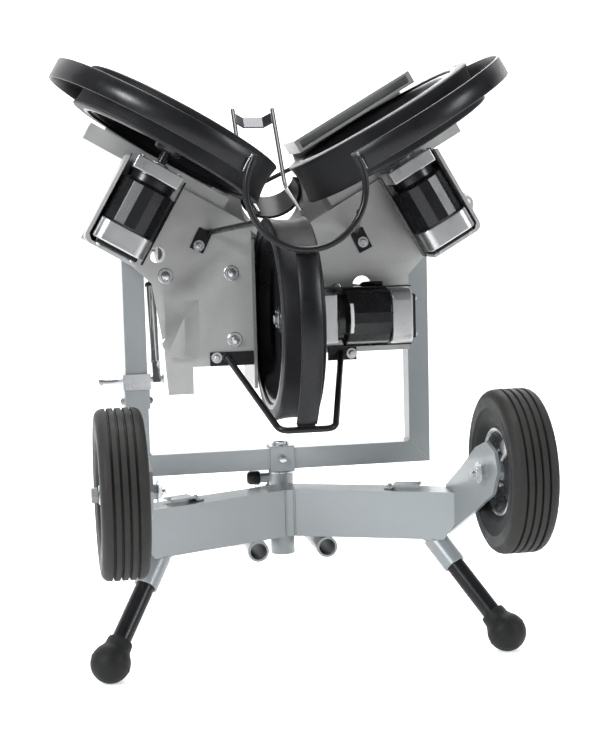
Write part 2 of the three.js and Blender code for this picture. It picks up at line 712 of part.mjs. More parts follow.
// The walls that stand forward round the outer and lower sides of a motor.
function pocketWalls() {
  const { out, drop, wall, near } = pocket;
  const outer = [
    leftSectorPoint(out, ribEdge), leftSectorPoint(out, drop - 10), leftSectorPoint(out - 3, drop - 3),
    leftSectorPoint(out - 10, drop), leftSectorPoint(near, drop),
  ];
  const inner = [
    leftSectorPoint(near, drop - wall), leftSectorPoint(out - 12, drop - wall),
    leftSectorPoint(out - wall, drop - 12), leftSectorPoint(out - wall, ribEdge),
  ];
  return plateXZ([...outer, ...inner], panel.pocketFront, panel.back);
}

// A raised pad with sloping sides, wider at the panel than at its face.
function raisedPad(low, high, slope, height) {
  const corners = [];
  for (const [inset, y] of [[0, panel.front + 1], [slope, panel.front - height]]) {
    corners.push([low[0], y, low[1]], [high[0] - inset, y, low[1]]);
    corners.push([high[0] - inset, y, high[1] - inset], [low[0], y, high[1] - inset]);
  }
  const geometry = new THREE.BufferGeometry();
  geometry.setAttribute('position', new THREE.Float32BufferAttribute(corners.flat(), 3));
  geometry.setIndex([0, 1, 2, 0, 2, 3, 4, 6, 5, 4, 7, 6, 0, 4, 5, 0, 5, 1, 1, 5, 6, 1, 6, 2,
    2, 6, 7, 2, 7, 3, 3, 7, 4, 3, 4, 0]);
  return geometry;
}

const panelBolt = (x, z) => moved(hexagon(11, -6, 1).rotateX(-Math.PI / 2), x, panel.front, z);
const holeY = (radius, x, z) => moved(bar(radius, -60, 60, 24).rotateX(-Math.PI / 2), x, panel.front, z);

// Lugs behind a panel reach back to the tilt axis, with a bolt into the upright.
function pivotLug(side) {
  const inner = yoke.half - yoke.tube;
  const shape = [[panel.back - 2, 560], [panel.back - 2, 690], [tilt.y, tilt.z + 20],
    ...arc(tilt.y, tilt.z, 20, 80, -80, 6), [tilt.y - 4, 600]];
  const lug = plateYZ(shape, inner - 9, inner - 1);
  const bolt = moved(bar(6, inner - 13, yoke.half - 2, 20).rotateY(Math.PI / 2), 0, tilt.y, tilt.z);
  return mirrorX(join(lug, bolt), side);
}

// An arm behind the left panel carries the pin for the strut's upper eye.
function strutArm() {
  const [y, z] = strut.high;
  const plate = plateYZ([[panel.back - 2, z - 40], [panel.back - 2, z + 6], [y, z + 10],
    ...arc(y, z, 10, 70, -70, 4), [y, z - 10]], -180, -174);
  const pin = moved(bar(3.5, -200, -176, 16).rotateY(Math.PI / 2), 0, y, z);
  return join(plate, pin);
}

function leftPanel() {
  const sheet = plateXZ(leftOutline(), panel.front, panel.back);
  const pad = raisedPad([-179, 434], [-124, 520], 26, 12);
  const bolts = [[-175, 556], [-75.5, 557.5], [-172.5, 453], [-73, 456]].map((p) => panelBolt(...p));
  const whole = join(sheet, pocketWalls(), pad, ...bolts, pivotLug(-1), strutArm());
  return cut(whole, holeY(12, -186, 588), holeY(7, -leadHole.x, leadHole.z));
}

function rightPanel() {
  const sheet = plateXZ(rightOutline(), panel.front, panel.back);
  const walls = mirrorX(pocketWalls(), -1);
  const whole = join(sheet, walls, panelBolt(86, 530), pivotLug(1));
  return cut(whole, holeY(14.5, 126, 532), holeY(7, leadHole.x, leadHole.z));
}

add(head, 'head_casting', headCasting(), castMetal);
add(head, 'left_panel', leftPanel(), castMetal);
add(head, 'right_panel', rightPanel(), castMetal);
add(head, 'feed_tube', feedTube(), blackPlastic);

// ---- ball chute ---------------------------------------------------------------------

// Two rods carry the ball down to the wheels, and a bent strap ties them at the top.
function ballChute() {
  const x = 33;
  const rods = [-x, x].map((side) =>
    bentRod([[side, 187, 815], [side, 82, 686], [side, -58, 646]], 3.5, 22, { sides: 12 }));
  const flat = plateXZ([
    [-x, -1.5], [-17, -15], [17, -15], [x, -1.5], [x, 1.5], [16, -12], [-16, -12], [-x, 1.5],
  ], -11, 11);
  const strap = moved(flat.rotateX(Math.atan2(129, 105)), 0, 176, 801.5);
  return join(...rods, strap);
}
add(head, 'ball_chute', ballChute(), chrome);

// ---- guards -------------------------------------------------------------------------

// A flat band bent round the front of a wheel, from the hoop out and back.
function guardBand(sector) {
  const { radius, width, thick } = guard;
  const [start, end] = guard.spans[sector.label];
  const steps = Math.round((end - start) / 7);
  const wrap = (r, from, to) => arc(0, 0, r, from, to, steps);
  const shape = [...wrap(radius + thick, start, end), ...wrap(radius, end, start)]
    .map(([forward, out]) => [wheel.y - forward, -wheel.centre - out]);
  const band = plateYZ(shape, -width / 2, width / 2);
  return fromSector(band, sector);
}

for (const sector of sectors) {
  add(head, `guard_band_${sector.label}`, guardBand(sector), blackPaint);
}

// The hoop ties the ends of the bands, and two struts carry it back to the panels.
const hoopY = wheel.y - (guard.radius + guard.thick) * Math.cos(THREE.MathUtils.degToRad(guard.spans.left[0])) - 8;
function guardHoop() {
  const angles = arc(0, guard.hoopZ, guard.hoopRadius, 150, 390, 18);
  const spots = angles.map(([x, z]) => new THREE.Vector3(x, hoopY, z));
  const hoop = sweep(spots, guard.rod, 8);
  const tabs = [[-120, 607.5, 27], [126, 601, -26]].map(([x, z, lean]) => {
    const tab = box([-11, panel.front - 3.3, -17], [11, panel.front - gap, 17]);
    return moved(tab.rotateY(THREE.MathUtils.degToRad(lean)), x, 0, z);
  });
  const bolts = [[-123.5, 600], [128.5, 598]].map(([x, z]) => moved(panelBolt(0, 0), x, -2, z));
  const struts = [[[-108, 619], [-69, 635]], [[117.5, 613.5], [75, 645]]].map(([tab, rim]) =>
    rod(4.2, [tab[0], panel.front - 2, tab[1]], [rim[0], hoopY + 1, rim[1]], 10));
  return join(hoop, ...tabs, ...bolts, ...struts);
}
add(head, 'guard_hoop', guardHoop(), blackPaint);

// The lower rod drops from both panels to the end of the lower band.
function lowerGuardRod() {
  const band = THREE.MathUtils.degToRad(guard.spans.lower[1]);
  const y = wheel.y - (guard.radius + guard.thick / 2) * Math.cos(band) + 2;
  const z = ball.z - wheel.centre - (guard.radius + guard.thick / 2) * Math.sin(band) - guard.rod - 4;
  const face = panel.front - gap;
  const bent = bentRod([[-86, face - 4, 430], [-38, y, z], [42, y, z], [90, face - 4, 428]], guard.rod, 14,
    { sides: 10 });
  const plates = [box([-112, face - 3, 417], [-45, face, 438]), box([70, face - 3, 418], [115, face, 438])];
  return join(bent, ...plates, moved(panelBolt(0, 0), -102, -2, 430), moved(panelBolt(0, 0), 107, -2, 428));
}
add(head, 'lower_guard_rod', lowerGuardRod(), blackPaint);

// ---- control box and leads ----------------------------------------------------------

const control = { x: 88, y0: casting.back + gap, y1: 134, z0: 470, z1: 606 };
function controlBox() {
  const { x, y0, y1, z0, z1 } = control;
  const outside = box([-x, y0, z0], [x, y1, z1]);
  const inside = box([-x + 3, y0 + 3, z0 + 3], [x - 3, y1 - 3, z1 - 3]);
  const knobHoles = [-1, 0, 1].map((i) => moved(bar(4, -10, 10, 16).rotateX(-Math.PI / 2), i * 52, y1, 566));
  const inlet = moved(tube(11, 5, 0, 16, 20), -40, 104, z0 - 15.5);
  const switchHole = box([26, y1 - 10, 497], [54, y1 + 5, 519]);
  return join(cut(outside, inside, ...knobHoles, switchHole, moved(bar(5, -10, 10, 20), -40, 104, z0)),
    inlet);
}
add(head, 'control_box', controlBox(), blackPaint);

['left', 'lower', 'right'].forEach((label, i) => {
  const knob = turned([[0, -8], [3.6, -8], [3.6, 0.5], [15, 0.5], [14, 14], [12, 16], [0, 16]],
    20).rotateX(-Math.PI / 2);
  add(head, `speed_knob_${label}`, moved(knob, (1 - i) * 52, control.y1, 566), blackPlastic);
});
const rocker = plateYZ([[-6, -10], [-2, 10], [4, 10], [1, 0], [2, -10]], -13, 13);
add(head, 'power_switch', moved(rocker, 40, control.y1, 508), blackPlastic);

// Each motor's lead passes through a hole in its panel to the right side of the control box.
const leadEnd = control.x + gap;
const leadRoutes = {
  left: [
    [-leadHole.x, -54.5, leadHole.z], [-leadHole.x, -16, leadHole.z], [-150, 40, 650], [-105, 100, 650],
    [-60, 130, 664], [90, 130, 733], [125, 122, 690], [112, 104, 580], [leadEnd, 104, 580],
  ],
  right: [
    [leadHole.x, -54.5, leadHole.z], [leadHole.x, -16, leadHole.z], [150, 40, 640], [118, 104, 550],
    [leadEnd, 104, 550],
  ],
  lower: [[148, -90, 536], [121, -78, 536], [121, -54, 530], [121, -16, 530], [112, 104, 520],
    [leadEnd, 104, 520]],
};
for (const [label, route] of Object.entries(leadRoutes)) {
  add(head, `motor_lead_${label}`, bentRod(route, 3.5, 8, { sides: 8, steps: 3 }), blackRubber);
}

export default machine;
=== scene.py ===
"""Looks for a three-wheel baseball pitching machine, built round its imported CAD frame."""
import math

import bmesh
import bpy
from mathutils import Matrix, Vector, noise


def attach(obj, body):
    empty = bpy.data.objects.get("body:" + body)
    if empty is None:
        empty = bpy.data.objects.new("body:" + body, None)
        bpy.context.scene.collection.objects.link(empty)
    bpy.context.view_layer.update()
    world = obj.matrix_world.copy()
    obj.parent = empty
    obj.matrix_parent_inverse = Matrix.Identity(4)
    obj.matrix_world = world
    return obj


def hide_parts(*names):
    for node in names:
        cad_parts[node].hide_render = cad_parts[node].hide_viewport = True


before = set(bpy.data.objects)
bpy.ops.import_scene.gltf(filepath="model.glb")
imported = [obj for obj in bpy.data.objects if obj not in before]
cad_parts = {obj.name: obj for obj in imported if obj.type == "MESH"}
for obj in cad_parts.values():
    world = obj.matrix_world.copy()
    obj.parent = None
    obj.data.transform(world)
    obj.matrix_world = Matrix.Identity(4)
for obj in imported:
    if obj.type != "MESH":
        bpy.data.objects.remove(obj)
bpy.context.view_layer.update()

# ---- the machine's own dimensions, in millimetres from the swivel post -------------------

POST_Y = -0.0816                       # where the post stands in the row frame, in metres
ROW = Matrix.Translation((0, POST_Y, 0)) @ Matrix.Scale(0.001, 4)
BALL_Z = 670
WHEEL_Y = -92
WHEEL_CENTRE = 182
WHEEL_RADIUS = 152
WHEEL_HALF = 30
TYRE_RADIUS = 114.3
TYRE_PLACE = (270.6, -326, 283)
GUARD_RADIUS = 194
GUARD_THICK = 4
GUARD_SPANS = {"lower": (-33, 45), "left": (-30, 140), "right": (-30, 140)}
HOOP = {"z": 679, "radius": 83, "rod": 4.75}
HOOP_Y = WHEEL_Y - (GUARD_RADIUS + GUARD_THICK) * math.cos(math.radians(GUARD_SPANS["left"][0])) - 8
TILT_Z = 650
YOKE_HALF = 238
YOKE_TUBE = 33
YOKE_BOTTOM = 247.5
PANEL_FRONT = -46
COLLAR_Z = 395
STRUT_LOW = (-190, 0, 397)
STRUT_HIGH = (-190, 76, 592)
ARM = {"top": 226, "bottom": 154, "thick": 50, "root": -75, "end_x": 231, "end_y": -175}
LEGS = {
    "left": {"foot": (-289, -240, 27.5), "arm": (-207, -143, 154), "top": 172, "socket": (116, 153.4)},
    "right": {"foot": (289, -240, 27.5), "arm": (207, -143, 154), "top": 172, "socket": (116, 153.4)},
    "rear": {"foot": (0, 575, 27.5), "arm": (0, 150, 170), "top": 189},
}
SECTORS = {"lower": (0, 1), "left": (120, 1), "right": (-120, -1)}
CONTROL = {"x": 88, "y1": 134, "dial_z": 566, "dial_step": 52}


# ---- materials ---------------------------------------------------------------------------

def surface(name, color, rough, metal=0.0, spread=0.08, patch=22.0, shade=0.12,
            grain=900.0, bump=0.04, coat=0.0, specular=0.5, streak=None):
    """A procedural finish: patchy roughness and shade, and a fine grain in the normal."""
    mat = bpy.data.materials.new(name)
    mat.use_nodes = True
    nodes = mat.node_tree.nodes
    links = mat.node_tree.links
    shader = nodes["Principled BSDF"]
    shader.inputs["Metallic"].default_value = metal
    shader.inputs["Specular IOR Level"].default_value = specular
    shader.inputs["Coat Weight"].default_value = coat
    shader.inputs["Coat Roughness"].default_value = 0.12
    coords = nodes.new("ShaderNodeTexCoord")
    where = coords.outputs["Object"]
    if streak:
        stretch = nodes.new("ShaderNodeMapping")
        stretch.inputs["Scale"].default_value = streak
        links.new(where, stretch.inputs["Vector"])
        where = stretch.outputs["Vector"]
    patches = nodes.new("ShaderNodeTexNoise")
    patches.inputs["Scale"].default_value = patch
    patches.inputs["Detail"].default_value = 6.0
    patches.inputs["Roughness"].default_value = 0.62
    links.new(coords.outputs["Object"], patches.inputs["Vector"])
    fine = nodes.new("ShaderNodeTexNoise")
    fine.inputs["Scale"].default_value = grain
    fine.inputs["Detail"].default_value = 4.0
    links.new(where, fine.inputs["Vector"])

    both = nodes.new("ShaderNodeMath")
    both.operation = "MULTIPLY_ADD"
    both.inputs[1].default_value = 0.3
    links.new(fine.outputs["Fac"], both.inputs[0])
    links.new(patches.outputs["Fac"], both.inputs[2])
    roughness = nodes.new("ShaderNodeMapRange")
    roughness.inputs["From Min"].default_value = 0.4
    roughness.inputs["From Max"].default_value = 0.9
    roughness.inputs["To Min"].default_value = max(rough - spread, 0.03)
    roughness.inputs["To Max"].default_value = rough + spread
    links.new(both.outputs[0], roughness.inputs["Value"])
    links.new(roughness.outputs["Result"], shader.inputs["Roughness"])

    tint = nodes.new("ShaderNodeMix")
    tint.data_type = "RGBA"
    tint.inputs["A"].default_value = (*[c * (1 - shade) for c in color], 1)
    tint.inputs["B"].default_value = (*[min(c * (1 + shade), 1) for c in color], 1)
    links.new(patches.outputs["Fac"], tint.inputs["Factor"])
    links.new(tint.outputs["Result"], shader.inputs["Base Color"])

    relief = nodes.new("ShaderNodeBump")
    relief.inputs["Strength"].default_value = bump
    relief.inputs["Distance"].default_value = 0.001
    links.new(fine.outputs["Fac"], relief.inputs["Height"])
    links.new(relief.outputs["Normal"], shader.inputs["Normal"])
    return mat


PAINT = surface("silver_paint", (0.27, 0.29, 0.295), 0.40, metal=0.45, spread=0.07, shade=0.10,
                grain=1500, bump=0.10, patch=14, coat=0.25)
CAST = surface("cast_aluminium", (0.44, 0.44, 0.43), 0.40, metal=0.65, spread=0.10, shade=0.14,
               grain=700, bump=0.22, patch=18)
MACHINED = surface("machined_aluminium", (0.50, 0.50, 0.50), 0.32, metal=0.9, spread=0.08,
                   grain=500, bump=0.10, streak=(1, 1, 6))
ZINC = surface("zinc_plate", (0.52, 0.53, 0.54), 0.30, metal=0.95, spread=0.10, shade=0.2,
               grain=600, bump=0.08, patch=60)
CHROME = surface("chrome_plate", (0.66, 0.66, 0.67), 0.09, metal=1.0, spread=0.05, shade=0.04,
                 grain=300, bump=0.02)
ENAMEL = surface("black_enamel", (0.008, 0.008, 0.009), 0.31, spread=0.07, shade=0.3,
                 grain=260, bump=0.05, patch=30, specular=0.28)
MOTOR_BLACK = surface("motor_black", (0.008, 0.008, 0.009), 0.28, spread=0.08, shade=0.3,
                      grain=500, bump=0.06, specular=0.35)
URETHANE = surface("black_urethane", (0.009, 0.009, 0.010), 0.46, spread=0.10, shade=0.35,
                   grain=420, bump=0.12, patch=35, specular=0.16)
HUB_DARK = surface("hub_dark", (0.020, 0.020, 0.022), 0.34, metal=0.2, spread=0.10, shade=0.3,
                   grain=400, bump=0.08, specular=0.3, coat=0.25)
# Painted reflection: the dark hub made lighter grey to stand in for the bright studio reflected on the right
# wheel's disc.
HUB_PAINTED_REFLECTION = surface("hub_painted_reflection", (0.13, 0.13, 0.135), 0.34, metal=0.5, spread=0.08, shade=0.2,
                   grain=400, bump=0.08, coat=0.3)
TREAD = surface("tyre_tread", (0.022, 0.0215, 0.020), 0.62, spread=0.14, shade=0.35,
                grain=260, bump=0.28, patch=40, specular=0.2)
SIDEWALL = surface("tyre_sidewall", (0.011, 0.011, 0.011), 0.45, spread=0.10, shade=0.3,
                   grain=420, bump=0.10, patch=28, specular=0.2)
RUBBER = surface("foot_rubber", (0.011, 0.011, 0.011), 0.58, spread=0.12, shade=0.3,
                 grain=380, bump=0.18, patch=45, specular=0.22)
PLASTIC = surface("black_plastic", (0.013, 0.013, 0.014), 0.42, spread=0.08, shade=0.2,
                  grain=900, bump=0.15, specular=0.25)
STEEL_DARK = surface("dark_steel", (0.055, 0.055, 0.058), 0.24, metal=0.8, spread=0.06, shade=0.15,
                     grain=300, bump=0.05)
WELD = surface("weld_metal", (0.26, 0.28, 0.29), 0.34, metal=0.8, spread=0.12, shade=0.3,
               grain=350, bump=0.35, patch=120)
WELD_DARK = surface("weld_enamel", (0.03, 0.03, 0.033), 0.24, metal=0.4, spread=0.1, shade=0.4,
                    grain=300, bump=0.4, patch=140)
PALE = surface("pale_label", (0.72, 0.72, 0.70), 0.5, spread=0.05, shade=0.04, grain=300, bump=0.03)


# ---- geometry helpers --------------------------------------------------------------------

def piece(name, bm, body, mat, place=None, stands_for=(), bevel=0.0, crease=32, weld=True):
    """Turns a bmesh drawn in millimetres into an object that rides on a CAD body."""
    if weld:
        bmesh.ops.remove_doubles(bm, verts=bm.verts, dist=0.001)
    bm.transform(ROW @ (place or Matrix()))
    bmesh.ops.recalc_face_normals(bm, faces=bm.faces)
    mesh = bpy.data.meshes.new(name)
    bm.to_mesh(mesh)
    bm.free()
    mesh.materials.append(mat)
    obj = bpy.data.objects.new(name, mesh)
    bpy.context.scene.collection.objects.link(obj)
    soften(obj, bevel, crease)
    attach(obj, body)
    if stands_for:
        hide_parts(*stands_for)
    return obj


def soften(obj, bevel, crease=32):
    """Smooth shading with sharp edges kept, and those edges rounded by a bevel in millimetres."""
    obj.data.shade_smooth()
    obj.data.set_sharp_from_angle(angle=math.radians(crease))
    if bevel:
        round_edges(obj, bevel, crease)


def round_edges(obj, bevel, crease):
    """Rounds the edges sharper than crease degrees."""
    edge = obj.modifiers.new("edges", "BEVEL")
    edge.width = bevel * 0.001
    edge.segments = 3
    edge.limit_method = "ANGLE"
    edge.angle_limit = math.radians(crease)
    edge.harden_normals = True


def dress(node, mat, bevel=0.8, crease=32):
    """Gives a CAD node its finish and rounds its edges."""
    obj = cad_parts[node]
    obj.data.materials.clear()
    obj.data.materials.append(mat)
    normals = obj.data.attributes.get("custom_normal")
    if normals:
        obj.data.attributes.remove(normals)
    obj.data.shade_smooth()
    obj.modifiers.new("weld", "WELD").merge_threshold = 0.00002
    flat = obj.modifiers.new("flat", "DECIMATE")
    flat.decimate_type = "DISSOLVE"
    flat.angle_limit = math.radians(1)
    round_edges(obj, bevel, crease)
    return obj


def facing(start, end):
    """A frame at start whose Z runs towards end."""
    start = Vector(start)
    turn = Vector((0, 0, 1)).rotation_difference(Vector(end) - start)
    return Matrix.Translation(start) @ turn.to_matrix().to_4x4()


def lathe(profile, segments=96, close=False):
    """Turns a profile of (radius, height) pairs about Z."""
    bm = bmesh.new()
    loops = []
    for radius, height in profile:
        count = 1 if radius < 1e-6 else segments
        loops.append([bm.verts.new((radius * math.cos(a), radius * math.sin(a), height))
                      for a in (2 * math.pi * i / segments for i in range(count))])
    pairs = list(zip(loops, loops[1:]))
    if close:
        pairs.append((loops[-1], loops[0]))
    for low, high in pairs:
        for i in range(segments):
            j = (i + 1) % segments
            ring = [low[i % len(low)], low[j % len(low)], high[j % len(high)], high[i % len(high)]]
            face = list(dict.fromkeys(ring))
            if len(face) > 2:
                bm.faces.new(face)
    return bm


def prism(points, low, high):
    """A flat outline in X and Y raised from low to high."""
    bm = bmesh.new()
    bottom = [bm.verts.new((x, y, low)) for x, y in points]
    top = [bm.verts.new((x, y, high)) for x, y in points]
    bm.faces.new(bottom)
    bm.faces.new(top)
    for i in range(len(points)):
        j = (i + 1) % len(points)
        bm.faces.new((bottom[i], bottom[j], top[j], top[i]))
    return bm


def block(low, high):
    """A box between two corners."""
    (x0, y0, z0), (x1, y1, z1) = low, high
    return prism([(x0, y0), (x1, y0), (x1, y1), (x0, y1)], z0, z1)


def merge(*shapes):
    """Puts several bmeshes into the first one."""
    first = shapes[0]
    for other in shapes[1:]:
        copy = bpy.data.meshes.new("part")
        other.to_mesh(copy)
        other.free()
        first.from_mesh(copy)
        bpy.data.meshes.remove(copy)
    return first


def arc(cx, cy, radius, start, end, steps):
    """Points of an arc in a plane, with its ends in degrees."""
    return [(cx + radius * math.cos(a), cy + radius * math.sin(a))
            for a in (math.radians(start + (end - start) * i / steps) for i in range(steps + 1))]


def rounded(points, bend, steps=8):
    """A polyline whose inner corners are rounded."""
    points = [Vector(p) for p in points]
    line = [points[0]]
    for before, corner, after in zip(points, points[1:], points[2:]):
        start = corner + (before - corner).normalized() * bend
        end = corner + (after - corner).normalized() * bend
        for i in range(steps + 1):
            t = i / steps
            line.append(start * (1 - t) ** 2 + corner * 2 * t * (1 - t) + end * t ** 2)
    line.append(points[-1])
    return line


def sweep(points, radius, sides=20, ripple=0.0, capped=True):
    """A round section carried along a line, with an uneven radius for a weld bead."""
    points = [Vector(p) for p in points]
    bm = bmesh.new()
    rings = []
    side = None
    for i, point in enumerate(points):
        ahead = points[min(i + 1, len(points) - 1)] - points[max(i - 1, 0)]
        ahead.normalize()
        if side is None:
            side = ahead.orthogonal()
        side = (side - ahead * side.dot(ahead)).normalized()
        other = ahead.cross(side)
        size = radius * (1 + ripple * (math.sin(i * 2.1) + 0.6 * noise.noise(point * 0.4)))
        rings.append([bm.verts.new(point + (side * math.cos(a) + other * math.sin(a)) * size)
                      for a in (2 * math.pi * k / sides for k in range(sides))])
    for low, high in zip(rings, rings[1:]):
        for k in range(sides):
            m = (k + 1) % sides
            bm.faces.new((low[k], low[m], high[m], high[k]))
    if capped:
        bm.faces.new(rings[0])
        bm.faces.new(rings[-1])
    return bm


def line(start, end, step=1.6):
    """Evenly spaced points on a straight line."""
    start, end = Vector(start), Vector(end)
    count = max(int((end - start).length / step), 2)
    return [start.lerp(end, i / count) for i in range(count + 1)]


def circle(centre, normal, radius, steps=60):
    """Points of a closed circle about an axis."""
    place = facing(centre, Vector(centre) + Vector(normal))
    return [place @ Vector((radius * math.cos(a), radius * math.sin(a), 0))
            for a in (2 * math.pi * i / steps for i in range(steps + 1))]


def bead(name, points, radius, body, mat=None):
    """A weld bead along a joint."""
    return piece(name, sweep(points, radius, sides=10, ripple=0.14), body, mat or WELD, crease=80)


def bolt(name, at, normal, flats, body, height=None, washer=True, mat=None, stud=0.0):
    """A hexagon head with a washer under it, standing on a face."""
    height = height or flats * 0.6
    base = 1.4 if washer else 0.0
    crown = lathe([(0, base), (flats * 0.56, base), (flats * 0.56, base + height * 0.82),
                   (flats * 0.44, base + height), (0, base + height)], 6)
    shapes = [crown]
    if washer:
        shapes.append(lathe([(flats * 0.3, 0), (flats * 0.92, 0), (flats * 0.92, base), (flats * 0.3, base)],
                            32, close=True))
    if stud:
        shapes.append(lathe([(0, base), (flats * 0.3, base), (flats * 0.3, base + height + stud - 0.8),
                             (flats * 0.22, base + height + stud), (0, base + height + stud)], 20))
    place = facing(at, Vector(at) + Vector(normal))
    return piece(name, merge(*shapes), body, mat or ZINC, place, bevel=0.35, weld=False)


def sector_place(label):
    turn, _ = SECTORS[label]
    return Matrix.Translation((0, 0, BALL_Z)) @ Matrix.Rotation(math.radians(turn), 4, "Y")


def wheel_place(label):
    _, side = SECTORS[label]
    hub = Matrix.Translation((0, WHEEL_Y, -WHEEL_CENTRE)) @ Matrix.Rotation(side * math.pi / 2, 4, "Y")
    return sector_place(label) @ hub


# ---- throwing wheels and motors ----------------------------------------------------------

def throwing_wheel(label):
    """A urethane tread with a hollow for the ball, on a dished disc with its shaft."""
    body = f"throwing_wheel_{label}"
    place = wheel_place(label)
    r, w = WHEEL_RADIUS, WHEEL_HALF
    cup = [(r - 4.5 * (1 - s * s), s * w) for s in (i / 10 for i in range(-9, 10))]
    shoulder = [(r - 3.4, -w), (r - 1.2, -w + 0.6), (r - 0.2, -w + 2.0)]
    tread = [(125, -w + 4), (126, -w + 1), (128, -w)] + shoulder + cup
    tread += [(a, -b) for a, b in reversed(shoulder)] + [(128, w), (126, w - 1), (125, w - 4)]
    piece(f"wheel_tread_{label}", lathe(tread, 160, close=True), body, URETHANE, place,
          stands_for=[f"throwing_tyre_{label}"], crease=50)
    for side in (-1, 1):
        ring = lathe([(127.5, 0), (128.5, 0.5), (133, 0.5), (134, 0)], 160)
        turn = Matrix.Rotation(0 if side > 0 else math.pi, 4, "X")
        piece(f"wheel_lip_{label}_{'a' if side < 0 else 'b'}", ring, body, HUB_DARK,
              place @ Matrix.Translation((0, 0, side * (w + 0.02))) @ turn)
    outer = [(7, -13), (19, -13), (20.5, -10), (21, -6), (28, -5.2), (104, -4.6), (111, -8), (117, -22),
             (119.5, -25.5), (123, -26.6), (124.7, -26.8)]
    inner = [(124.7, 26.8), (123, 26.6), (119.5, 25.5), (116, 22), (110, 7), (104, 3.4), (28, 2.8),
             (22, 4), (21, 25), (19.5, 27), (7.2, 27.8)]
    disc = [(0, -13)] + outer + inner + [(0, 27.8)]
    # The right wheel's disc takes the lighter grey as a painted reflection; the other discs keep the plain dark
    # hub.
    disc_material = HUB_PAINTED_REFLECTION if label == "right" else HUB_DARK
    piece(f"wheel_disc_{label}", lathe(disc, 128), body, disc_material, place,
          stands_for=[f"throwing_hub_{label}"], crease=40)
    shaft = lathe([(0, 27.4), (7, 27.4), (7, 53.8), (0, 53.8)], 48)
    piece(f"wheel_shaft_{label}", shaft, body, MOTOR_BLACK, place)
    for i in range(4):
        angle = math.pi / 4 + i * math.pi / 2
        spot = place @ Vector((15.2 * math.cos(angle), 15.2 * math.sin(angle), -13))
        way = place.to_3x3() @ Vector((0, 0, -1))
        bolt(f"hub_screw_{label}_{i}", spot, way, 4.5, body, washer=False)
    head = place @ Vector((0, 0, -13.2))
    bolt(f"hub_bolt_{label}", head, place.to_3x3() @ Vector((0, 0, -1)), 12, body, height=6)


def motor(label):
    """A direct-drive motor: flange, neck, sixteen-sided can with two rails, end bell and cap."""
    place = wheel_place(label)
    size = 36
    flange = prism([(-size, -size), (size, -size), (size, size), (-size, size)], 50.4, 70)
    piece(f"motor_flange_{label}", flange, "head", MACHINED, place,
          stands_for=[f"motor_{label}"], bevel=1.6)
    nut = lathe([(8.7, 45.2), (11.5, 45.2), (12.5, 46.2), (12.5, 50.6), (8.7, 50.6)], 6, close=True)
    piece(f"motor_nut_{label}", nut, "head", MACHINED, place, bevel=0.4)
    neck = lathe([(0, 69.5), (36.5, 69.5), (36.5, 72), (35, 73), (35, 82), (37, 84), (42.2, 86), (0, 86)], 96)
    piece(f"motor_neck_{label}", neck, "head", MOTOR_BLACK, place)
    can = lathe([(0, 85.5), (42, 85.5), (43.6, 87), (43.6, 151), (42, 152.6), (0, 152.6)], 16)
    piece(f"motor_can_{label}", can, "head", MOTOR_BLACK,
          place @ Matrix.Rotation(math.pi / 16, 4, "Z"), bevel=1.2, crease=12)
    straight, corner = 40.5, 17
    square = []
    for turn, (x, y) in zip((0, 90, 180, 270), ((1, 1), (-1, 1), (-1, -1), (1, -1))):
        square += arc(x * (straight - corner), y * (straight - corner), corner, turn, turn + 90, 10)
    bell = prism(square, 152.4, 184)
    piece(f"motor_bell_{label}", bell, "head", MACHINED, place, bevel=2.2, crease=40)
    end = 33
    cap = prism([(-end, -end), (end, -end), (end, end), (-end, end)], 183.6, 190)
    piece(f"motor_end_{label}", cap, "head", MOTOR_BLACK, place, bevel=1.4)
    way = place.to_3x3() @ Vector((0, 0, 1))
    for i, (x, y) in enumerate(((-1, -1), (1, -1), (1, 1), (-1, 1))):
        bolt(f"motor_end_bolt_{label}_{i}", place @ Vector((x * 27, y * 27, 190)), way, 6, "head",
             height=3, washer=False)
        spot = place @ Vector((x * 29, y * 29, 50.4))
        bolt(f"motor_face_screw_{label}_{i}", spot, -way, 5.5, "head", height=2.6, washer=False)
    for side in (-1, 1):
        rail = block((side * 43.9 - 0.9, -10, 53), (side * 43.9 + 0.9, 10, 189))
        piece(f"motor_rail_{label}_{'a' if side < 0 else 'b'}", rail, "head", MOTOR_BLACK,
              place, bevel=0.4)
    if label == "lower":
        sticker = prism(arc(0, 0, 43.9, -120, -60, 16) + arc(0, 0, 43.4, -60, -120, 16), 88.5, 93.5)
        piece("motor_sticker", sticker, "head", PALE, place)


for label in SECTORS:
    throwing_wheel(label)
    motor(label)


# ---- guards ------------------------------------------------------------------------------

def guard_band(label):
    """A flat band bent round the front of a wheel, with its edges eased."""
    steps = 90
    start, end = GUARD_SPANS[label]
    half, bevel = 15, 1.0
    section = [(-half + bevel, 0), (half - bevel, 0), (half, bevel), (half, GUARD_THICK - bevel),
               (half - bevel, GUARD_THICK), (-half + bevel, GUARD_THICK), (-half,
                                                                           GUARD_THICK - bevel), (-half,
                                                                                                  bevel)]
    bm = bmesh.new()
    rings = []
    for i in range(steps + 1):
        angle = math.radians(start + (end - start) * i / steps)
        rings.append([bm.verts.new((x, WHEEL_Y - (GUARD_RADIUS + r) * math.cos(angle),
                                    -WHEEL_CENTRE - (GUARD_RADIUS + r) * math.sin(angle))) for x, r in section])
    for low, high in zip(rings, rings[1:]):
        for k in range(len(section)):
            m = (k + 1) % len(section)
            bm.faces.new((low[k], low[m], high[m], high[k]))
    bm.faces.new(rings[0])
    bm.faces.new(rings[-1])
    piece(f"band_{label}", bm, "head", ENAMEL, sector_place(label),
          stands_for=[f"guard_band_{label}"], crease=60)


for label in SECTORS:
    guard_band(label)


